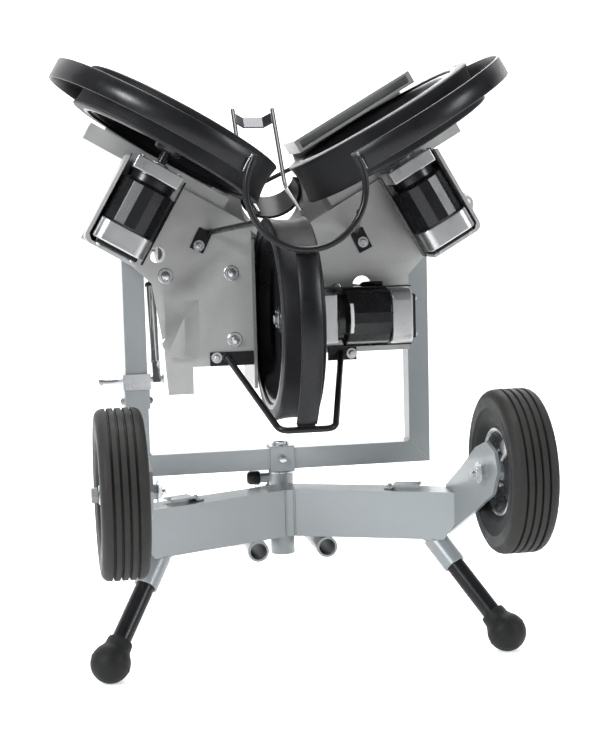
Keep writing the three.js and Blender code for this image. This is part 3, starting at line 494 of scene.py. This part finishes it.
def guard_hoop():
    """The round hoop at the mouth, its two struts with tabs, and its welds to the bands."""
    ring = [(x, HOOP_Y, z) for x, z in arc(0, HOOP["z"], HOOP["radius"], 150, 390, 90)]
    piece("hoop_rod", sweep(ring, HOOP["rod"], 24), "head", ENAMEL,
          stands_for=["guard_hoop"], crease=60)
    for tag, x, z, lean, screw, start, end in (
            ("left", -120, 607.5, 27, (-123.5, 600), (-108, 619), (-69, 635)),
            ("right", 126, 601, -26, (128.5, 598), (117.5, 613.5), (75, 645))):
        place = Matrix.Translation((x, PANEL_FRONT - 0.3, z)) @ Matrix.Rotation(math.radians(lean), 4, "Y")
        piece(f"hoop_tab_{tag}", block((-11, -3, -17), (11, 0, 17)), "head", ENAMEL, place,
              bevel=0.8)
        low = Vector((start[0], PANEL_FRONT - 2, start[1]))
        high = Vector((end[0], HOOP_Y + 1, end[1]))
        piece(f"hoop_strut_{tag}", sweep(line(low, high, 6), 4.2, 20), "head", ENAMEL)
        bead(f"hoop_strut_weld_{tag}", circle(high.lerp(low, 0.02), high - low, 4.6), 1.3, "head",
             WELD_DARK)
        bolt(f"hoop_tab_bolt_{tag}", (screw[0], PANEL_FRONT - 3.3, screw[1]), (0, -1, 0), 9, "head", height=5)
    for label in ("left", "right"):
        row = [sector_place(label) @ Vector((x, HOOP_Y + 4, -92 + abs(x) * 0.05)) for x in range(-13, 14)]
        bead(f"hoop_weld_{label}", row, 2.0, "head", WELD)
    gap_row = [(x, HOOP_Y + 9, BALL_Z - 75 + abs(x) * 0.08) for x in range(-13, 14)]
    bead("hoop_weld_lower", gap_row, 4.4, "head", WELD)


guard_hoop()


def lower_rod():
    """The rod that drops from both panels to the end of the lower band."""
    angle = math.radians(45)
    reach = GUARD_RADIUS + GUARD_THICK / 2
    y = WHEEL_Y - reach * math.cos(angle) + 2
    z = BALL_Z - WHEEL_CENTRE - reach * math.sin(angle) - HOOP["rod"] - 4
    face = PANEL_FRONT - 0.3
    route = rounded([(-86, face - 4, 430), (-38, y, z), (42, y, z), (90, face - 4, 428)], 14)
    piece("lower_rod", sweep(route, HOOP["rod"], 24), "head", ENAMEL,
          stands_for=["lower_guard_rod"], crease=60)
    for tag, low, high, spot in (("left", (-112, face - 3, 417), (-45, face, 438), (-102, face - 3, 430)),
                                 ("right", (70, face - 3, 418), (115, face, 438), (107, face - 3, 428))):
        piece(f"rod_plate_{tag}", block(low, high), "head", ENAMEL, bevel=0.8)
        bolt(f"rod_plate_bolt_{tag}", spot, (0, -1, 0), 9, "head", height=5)
    bead("rod_weld_band", [(x, y + 1, z + 5.2) for x in range(-13, 14)], 1.7, "head", WELD_DARK)
    bead("rod_weld_left", circle((-86, face - 3.4, 430), (0, 1, 0), 5.4), 1.4, "head", WELD_DARK)
    bead("rod_weld_right", circle((90, face - 3.4, 428), (0, 1, 0), 5.4), 1.4, "head", WELD_DARK)


lower_rod()

# ---- castings, chute and feed ------------------------------------------------------------

for node in ("head_casting", "left_panel", "right_panel"):
    dress(node, CAST, bevel=1.4, crease=30)
for i, (x, z) in enumerate(((-175, 556), (-75.5, 557.5), (-172.5, 453), (-73, 456))):
    bolt(f"left_panel_bolt_{i}", (x, PANEL_FRONT - 5.2, z), (0, -1, 0), 11.5, "head", height=4, washer=False)
    boss = lathe([(6.6, 0), (11.5, 0), (11.5, 0.9), (10.6, 1.5), (6.6, 1.5)], 40, close=True)
    piece(f"left_panel_boss_{i}", boss, "head", ZINC,
          facing((x, PANEL_FRONT, z), (x, PANEL_FRONT - 9, z)))
bolt("right_panel_bolt", (86, PANEL_FRONT - 5.2, 530), (0, -1, 0), 11.5, "head", height=3, washer=False)


def chute():
    """Two bent rods and the strap that ties them at the top."""
    for side in (-1, 1):
        route = rounded([(side * 33, 187, 815), (side * 33, 82, 686), (side * 33, -58, 646)], 22, 14)
        rod = piece(f"chute_rod_{'left' if side < 0 else 'right'}", sweep(route, 3.5, 24), "head",
                    STEEL_DARK,
                    crease=60)
        if side < 0:
            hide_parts("ball_chute")
    bend = [(-33, -1.5), (-17, -15), (17, -15), (33, -1.5), (33, 1.5), (16, -12), (-16, -12), (-33, 1.5)]
    slope = math.atan2(129, 105)
    place = Matrix.Translation((0, 176, 801.5)) @ Matrix.Rotation(slope + math.pi / 2, 4, "X")
    piece("chute_strap", prism(bend, -11, 11), "head", STEEL_DARK, place, bevel=0.7)
    for side in (-1, 1):
        bead(f"chute_weld_{'left' if side < 0 else 'right'}",
             line((side * 30.5, 169.5, 793), (side * 30.5, 182.5, 809), 1.2), 1.5, "head", WELD)


chute()
dress("feed_tube", PLASTIC, bevel=0.8, crease=40)

# ---- yoke --------------------------------------------------------------------------------

for node in ("yoke_crossbar", "yoke_upright_left", "yoke_upright_right", "yoke_saddle"):
    dress(node, PAINT, bevel=2.2 if node != "yoke_saddle" else 1.2, crease=40)
dress("tilt_collar", ZINC, bevel=1.0)
dress("swivel_spindle", ZINC, bevel=0.5)
INNER = YOKE_HALF - YOKE_TUBE
BAR_TOP = YOKE_BOTTOM + YOKE_TUBE
HALF = YOKE_TUBE / 2
for side in (-1, 1):
    tag = "left" if side < 0 else "right"
    for face in (-1, 1):
        ends = ((side * (YOKE_HALF - 1), face * (HALF - 0.2), YOKE_BOTTOM + 1),
                (side * (INNER + 1), face * (HALF - 0.2), BAR_TOP - 1))
        bead(f"mitre_weld_{tag}_{'front' if face < 0 else 'back'}", line(*ends), 0.9, "yoke", PAINT)
    inside = line((side * INNER, -HALF + 2, BAR_TOP), (side * INNER, HALF - 2, BAR_TOP))
    bead(f"corner_weld_{tag}", inside, 1.8, "yoke", PAINT)
bolt("saddle_bolt", (0, -HALF - 8.2, YOKE_BOTTOM + HALF), (0, -1, 0), 11.5, "yoke", height=3, washer=False)


def lock_pin():
    """The spring pin that locks the collar."""
    outer = -(YOKE_HALF - HALF) - 21
    profile = [(0, -36), (5.6, -36), (6.5, -35), (6.5, -32), (5.4, -30.6), (4.6, -29.6), (4.6, -2), (5, -1),
               (5, 25), (3.6, 29), (0, 29)]
    place = Matrix.Translation((outer, 0, COLLAR_Z)) @ Matrix.Rotation(math.pi / 2, 4, "Y")
    piece("pin_body", lathe(profile, 48), "tilt_pin", ZINC, place, stands_for=["tilt_lock_pin"])


lock_pin()


def strut():
    """The tilt strut: cylinder, rod and a black gland."""
    place = facing(STRUT_LOW, STRUT_HIGH)
    dress("strut_cylinder", CHROME, bevel=0.5, crease=40)
    dress("strut_rod", CHROME, bevel=0.5, crease=40)
    band = lathe([(7.6, 148), (8.4, 148.6), (8.4, 153.4), (7.6, 154)], 48)
    piece("strut_gland", band, "strut_barrel", PLASTIC, place)


strut()


def clamp_knob():
    """The lobed knob that clamps the tilt."""
    lobes = 7
    bm = bmesh.new()
    rings = []
    for radius, height, depth in ((8, 0, 0), (8, 25, 0), (15, 29, 0.4), (18.6, 33, 1), (19.6, 38, 1),
                                  (19.6, 66, 1),
                                  (17.5, 72, 0.8), (12, 78, 0.3), (4, 80, 0)):
        ring = []
        for i in range(112):
            angle = 2 * math.pi * i / 112
            size = radius - 1.5 * depth * (1 + math.cos(lobes * angle)) / 2
            ring.append(bm.verts.new((size * math.cos(angle), size * math.sin(angle), height)))
        rings.append(ring)
    for low, high in zip(rings, rings[1:]):
        for i in range(112):
            j = (i + 1) % 112
            bm.faces.new((low[i], low[j], high[j], high[i]))
    bm.faces.new(rings[0])
    bm.faces.new(rings[-1])
    place = Matrix.Translation((YOKE_HALF + 0.3, 0, TILT_Z)) @ Matrix.Rotation(math.pi / 2, 4, "Y")
    piece("clamp_knob", bm, "tilt_clamp", CAST, place, stands_for=["tilt_clamp_knob"], crease=50)


clamp_knob()

# ---- base --------------------------------------------------------------------------------

SLOPE = (ARM["end_y"] - ARM["root"]) / ARM["end_x"]
DEPTH = ARM["thick"] * math.sqrt(1 + SLOPE * SLOPE)


def arm_front(x):
    """How far forward the front face of an arm is at a given X."""
    return ARM["root"] + SLOPE * abs(x)


for side in ("left", "right"):
    dress(f"base_arm_{side}", PAINT, bevel=2.0, crease=40)
    dress(f"axle_plate_{side}", PAINT, bevel=0.9, crease=30)
    dress(f"leg_latch_{side}", PAINT, bevel=0.6)
dress("swivel_post", PAINT, bevel=0.7, crease=30)
dress("leg_socket_rear", PAINT, bevel=1.2, crease=30)
bead("post_weld_left", line((-6.4, ARM["root"] - 3.6, 156), (-6.4, ARM["root"] - 3.6, 224)), 1.5, "base",
     PAINT)
bead("post_weld_right", line((6.4, ARM["root"] - 3.6, 156), (6.4, ARM["root"] - 3.6, 224)), 1.5, "base",
     PAINT)
for side in (-1, 1):
    tag = "left" if side < 0 else "right"
    plate_x = side * 231.2
    seam = line((plate_x, arm_front(231) + 1, 190), (plate_x, arm_front(231) + 1, 224))
    bead(f"arm_end_weld_{tag}", seam, 1.6, "base", PAINT)
    nut = (side * 222.6, -326, 283)
    bolt(f"axle_nut_{tag}", nut, (-side, 0, 0), 17, "base", height=5, stud=5)
    for i, along in enumerate((148, 190)):
        spot = (side * along, arm_front(along) + DEPTH / 2, ARM["top"] + (3.3 if i == 0 else 8.3))
        bolt(f"latch_screw_{tag}_{i}", spot, (0, 0, 1), 6, f"latch_{tag}", height=3, washer=i == 0)
    cap = (side * 306.5, -326, 283)
    bolt(f"axle_cap_{tag}", cap, (side, 0, 0), 17, "base", height=4, washer=False)


def leg(tag):
    """A leg tube with its rubber ball foot, and the socket of a front leg."""
    spec = LEGS[tag]
    foot, mouth = Vector(spec["foot"]), Vector(spec["arm"])

    def at_height(z):
        return foot.lerp(mouth, (z - foot.z) / (mouth.z - foot.z))

    body = f"leg_{tag}"
    top = at_height(spec["top"])
    length = (top - foot).length
    place = facing(foot, mouth)
    tube = [(0, 11), (14, 11), (14, length - 1), (13, length), (0, length)]
    piece(f"leg_tube_{tag}_smooth", lathe(tube, 72), body, ENAMEL, place,
          stands_for=[f"leg_tube_{tag}"], crease=40)
    radius = 28.5
    angles = [math.radians(-90 + 132 * i / 40) for i in range(41)]
    ball = [(radius * math.cos(a), radius * math.sin(a)) for a in angles]
    profile = ball[:-1] + [(20.6, 21), (19.2, 24), (18.6, 33.5), (17.6, 35.6), (16, 36), (14.3, 36),
                           (14.3, 10), (0, 10)]
    rubber = lathe(profile, 96)
    bm_floor(rubber, place)
    piece(f"foot_{tag}", rubber, body, RUBBER, place, stands_for=[f"leg_foot_{tag}"],
          crease=50)
    rib = lathe([(28.4, -1.4), (29.0, -0.9), (29.0, 0.9), (28.4, 1.4)], 96)
    piece(f"foot_seam_{tag}", rib, body, RUBBER, place)
    if tag != "rear":
        low, high = (at_height(z) for z in spec["socket"])
        run = (high - low).length
        sleeve = lathe([(14.6, 0), (17, 0), (17.5, 0.6), (17.5, run), (14.6, run)], 72, close=True)
        piece(f"socket_{tag}", sleeve, "base", PAINT, facing(low, high),
              stands_for=[f"leg_socket_{tag}"])
        seam = [Vector((p.x, p.y, ARM["bottom"] - 0.6)) for p in circle(at_height(153.4), (0, 0, 1), 19)]
        bead(f"socket_weld_{tag}", seam, 1.8, "base", PAINT)


def bm_floor(bm, place):
    """Flattens what would reach below the floor."""
    back = place.inverted()
    for vert in bm.verts:
        spot = place @ vert.co
        if spot.z < 0:
            spot.z = 0
            vert.co = back @ spot


for tag in LEGS:
    leg(tag)

for side in (-1, 1):
    tag = "left" if side < 0 else "right"
    sleeve = lathe([(12.5, -93), (15.4, -93), (16, -92.4), (16, 100.4), (15.4, 101), (12.5, 101)], 72,
                   close=True)
    place = Matrix.Translation((side * 53, 0, 137)) @ Matrix.Rotation(-math.pi / 2, 4, "X")
    piece(f"handle_tube_{tag}", sleeve, "base", PAINT, place,
          stands_for=[f"handle_socket_{tag}"])
    front = arm_front(53)
    bead(f"handle_weld_{tag}", line((side * 53, front, 153.2), (side * 53, front + DEPTH, 153.2)), 1.6,
         "base", PAINT)


dress("swivel_lock_lever", PLASTIC, bevel=0.8, crease=40)


def transport_wheel(tag, side):
    """A ribbed tyre on a pressed steel rim."""
    body = f"transport_wheel_{tag}"
    x, y, z = TYRE_PLACE
    place = Matrix.Translation((side * x, y, z)) @ Matrix.Rotation(side * math.pi / 2, 4, "Y")
    r = TYRE_RADIUS
    half = [(0, r)]
    grooves = (5.2, 15.6)
    for centre in grooves:
        half += [(centre - 2.0, r), (centre - 1.5, r - 1.0), (centre - 1.2, r - 4.2), (centre + 1.2, r - 4.2),
                 (centre + 1.5, r - 1.0), (centre + 2.0, r)]
    half += [(21.5, r - 0.3), (25.0, r - 1.4), (28.2, r - 3.6), (30.4, r - 7.2), (31.3, r - 11),
             (31.7, r - 17),
             (31.2, 92), (31.7, 90.5), (31.7, 88), (31.0, 86.5), (30.2, 78), (28, 72), (25, 69), (23.5,
                                                                                                  66), (21,
                                                                                                        62)]
    profile = [(b, -a) for a, b in reversed(half[1:])] + [(b, a) for a, b in half]
    tread_end = r - 12
    tyre = lathe(profile, 144, close=True)
    obj = piece(f"tyre_{tag}", tyre, body, TREAD, place, stands_for=[f"transport_tyre_{tag}"],
                crease=45)
    obj.data.materials.append(SIDEWALL)
    centre = (ROW @ place).translation
    axis = (place.to_3x3() @ Vector((0, 0, 1))).normalized()
    for poly in obj.data.polygons:
        away = poly.center - centre
        reach = (away - axis * away.dot(axis)).length * 1000
        if reach < tread_end:
            poly.material_index = 1
    rim = [(6.4, -29), (12, -29), (13, -28), (13.6, -16), (24, -10), (44, -8), (49, -12), (54, -19),
           (58, -22.5),
           (60.5, -23.2), (61.7, -22), (61.7, 22), (60.5, 23.2), (58, 22.5), (54, 19), (49, 2), (44,
                                                                                                 -2), (24,
                                                                                                       -4),
           (13.6, 2), (13, 28), (12, 29), (6.4, 29)]
    piece(f"rim_{tag}", lathe(rim, 96, close=True), body, ZINC, place,
          stands_for=[f"transport_rim_{tag}"], crease=35)
    for i in range(4):
        angle = math.pi / 4 + i * math.pi / 2
        spot = place @ Vector((34 * math.cos(angle), 34 * math.sin(angle), -9.3))
        bolt(f"rim_bolt_{tag}_{i}", spot, place.to_3x3() @ Vector((0, 0, -1)), 7, body, height=3.4,
             washer=False)


transport_wheel("left", -1)
transport_wheel("right", 1)

# ---- control box -------------------------------------------------------------------------

dress("control_box", ENAMEL, bevel=2.4, crease=40)
dress("power_switch", PLASTIC, bevel=0.5)


def control_details():
    """Dials, knobs, screws, louvres and the switch bezel on the back of the control box."""
    x, y1, dial_z = CONTROL["x"], CONTROL["y1"], CONTROL["dial_z"]
    knob = ((15, 0.6, 0), (15, 3, 0), (14.4, 4, 1), (13.4, 14, 1), (12, 16, 0.4), (5, 16.2, 0))
    for i, label in enumerate(("left", "lower", "right")):
        dial_x = (1 - i) * CONTROL["dial_step"]
        place = facing((dial_x, y1, dial_z), (dial_x, y1 + 9, dial_z))
        dial = lathe([(15.8, 0), (22, 0), (22, 0.4), (15.8, 0.4)], 72, close=True)
        piece(f"dial_face_{label}", dial, "head", PALE, place)
        for k in range(11):
            tick = block((-0.4, 17, 0.4), (0.4, 21, 0.7))
            turn = Matrix.Rotation(math.radians(-135 + 27 * k), 4, "Z")
            piece(f"dial_tick_{label}_{k}", tick, "head", PLASTIC, place @ turn)
        fluted(f"dial_knob_{label}", knob, 20, f"speed_dial_{label}", place, [f"speed_knob_{label}"])
        mark = block((-0.9, 5, 15.9), (0.9, 12.6, 16.7))
        piece(f"dial_mark_{label}", mark, f"speed_dial_{label}", PALE, place)
    for i, (sx, z) in enumerate(((-1, 477), (1, 477), (-1, 599), (1, 599))):
        bolt(f"box_screw_{i}", (sx * (x - 7), y1, z), (0, 1, 0), 5, "head", height=2.4)
    rim = bmesh.new()
    outer = [(24, 495), (56, 495), (56, 521), (24, 521)]
    inner = [(26.2, 497.2), (53.8, 497.2), (53.8, 518.8), (26.2, 518.8)]
    rings = [[rim.verts.new((a, y, b)) for a, b in loop] for loop, y in
             ((outer, y1), (outer, y1 + 1.4), (inner, y1 + 1.4), (inner, y1))]
    for low, high in zip(rings, rings[1:] + rings[:1]):
        for k in range(4):
            m = (k + 1) % 4
            rim.faces.new((low[k], low[m], high[m], high[k]))
    piece("switch_bezel", rim, "head", PLASTIC, bevel=0.4)
    for i in range(6):
        slot = block((-70, y1, 486 + i * 5), (-34, y1 + 0.5, 488 + i * 5))
        piece(f"box_louvre_{i}", slot, "head", PLASTIC, bevel=0.2)


def fluted(name, profile, lobes, body, place, stands_for):
    """A knob turned from (radius, height, depth of its flutes) rows."""
    bm = bmesh.new()
    count = lobes * 8
    rings = []
    for radius, height, depth in profile:
        rings.append([bm.verts.new(((radius - 0.5 * depth * (1 + math.cos(lobes * a))) * math.cos(a),
                                    (radius - 0.5 * depth * (1 + math.cos(lobes * a))) * math.sin(a), height))
                      for a in (2 * math.pi * i / count for i in range(count))])
    for low, high in zip(rings, rings[1:]):
        for i in range(count):
            j = (i + 1) % count
            bm.faces.new((low[i], low[j], high[j], high[i]))
    bm.faces.new(rings[0])
    bm.faces.new(rings[-1])
    return piece(name, bm, body, PLASTIC, place, stands_for=stands_for, crease=50)


control_details()
for label in SECTORS:
    dress(f"motor_lead_{label}", RUBBER, bevel=0.2, crease=80)

# ---- stage, light and camera -------------------------------------------------------------

floor_mesh = bpy.data.meshes.new("floor")
floor_mesh.from_pydata([(-9, -9, 0), (9, -9, 0), (9, 9, 0), (-9, 9, 0)], [], [(0, 1, 2, 3)])
floor = bpy.data.objects.new("floor", floor_mesh)
bpy.context.scene.collection.objects.link(floor)


def glowing(name, color, strength):
    """A pale surface with a little light of its own."""
    mat = surface(name, color, 0.8, spread=0.04, shade=0.01, bump=0.0)
    shader = mat.node_tree.nodes["Principled BSDF"]
    shader.inputs["Emission Color"].default_value = (1, 1, 1, 1)
    shader.inputs["Emission Strength"].default_value = strength
    return mat


floor_mesh.materials.append(glowing("pale_floor", (0.88, 0.88, 0.88), 0.50))
wall_mesh = bpy.data.meshes.new("backdrop")
wall_mesh.from_pydata([(-9, 4, 0), (9, 4, 0), (9, 4, 9), (-9, 4, 9)], [], [(0, 1, 2, 3)])
wall = bpy.data.objects.new("backdrop", wall_mesh)
bpy.context.scene.collection.objects.link(wall)
wall_mesh.materials.append(glowing("backdrop_white", (0.8, 0.8, 0.8), 1.0))

world = bpy.context.scene.world or bpy.data.worlds.new("world")
bpy.context.scene.world = world
world.use_nodes = True
world.node_tree.nodes["Background"].inputs["Color"].default_value = (0.93, 0.95, 1.0, 1)
world.node_tree.nodes["Background"].inputs["Strength"].default_value = 0.12
bpy.context.scene.view_settings.view_transform = "Standard"


def softbox(name, at, towards, size, power, color=(1, 1, 1)):
    """A rectangular lamp aimed at a point."""
    light = bpy.data.lights.new(name, "AREA")
    light.shape = "RECTANGLE"
    light.size, light.size_y = size
    light.energy = power
    light.color = color
    lamp = bpy.data.objects.new(name, light)
    lamp.location = at
    lamp.rotation_euler = (Vector(towards) - Vector(at)).to_track_quat("-Z", "Y").to_euler()
    bpy.context.scene.collection.objects.link(lamp)


softbox("key_left", (-2.3, -2.0, 1.9), (0, -0.1, 0.5), (0.8, 0.8), 92, (0.94, 0.97, 1))
softbox("fill_right", (2.4, -1.8, 1.5), (0, -0.1, 0.5), (0.7, 1.2), 40, (0.93, 0.96, 1))
softbox("top", (0, 0.1, 2.6), (0, 0, 0.5), (1.4, 1.4), 70)
softbox("back", (0.5, 2.4, 1.9), (0, 0, 0.6), (2.2, 1.2), 36)

camera_data = bpy.data.cameras.new("camera")
camera_data.lens = 72.3
camera_data.sensor_width = 36
camera_data.clip_end = 60
camera = bpy.data.objects.new("camera", camera_data)
right = Vector((0.98271, -0.18344, -0.02514))
up = Vector((0.04529, 0.10653, 0.99325))
ahead = Vector((0.1796, 0.9772, -0.1130))
turn = Matrix((right, up, -ahead)).transposed()
camera.matrix_world = Matrix.Translation(ROW @ Vector((-386.6, -2291.8, 660.3))) @ turn.to_4x4()
bpy.context.scene.collection.objects.link(camera)
bpy.context.scene.camera = camera
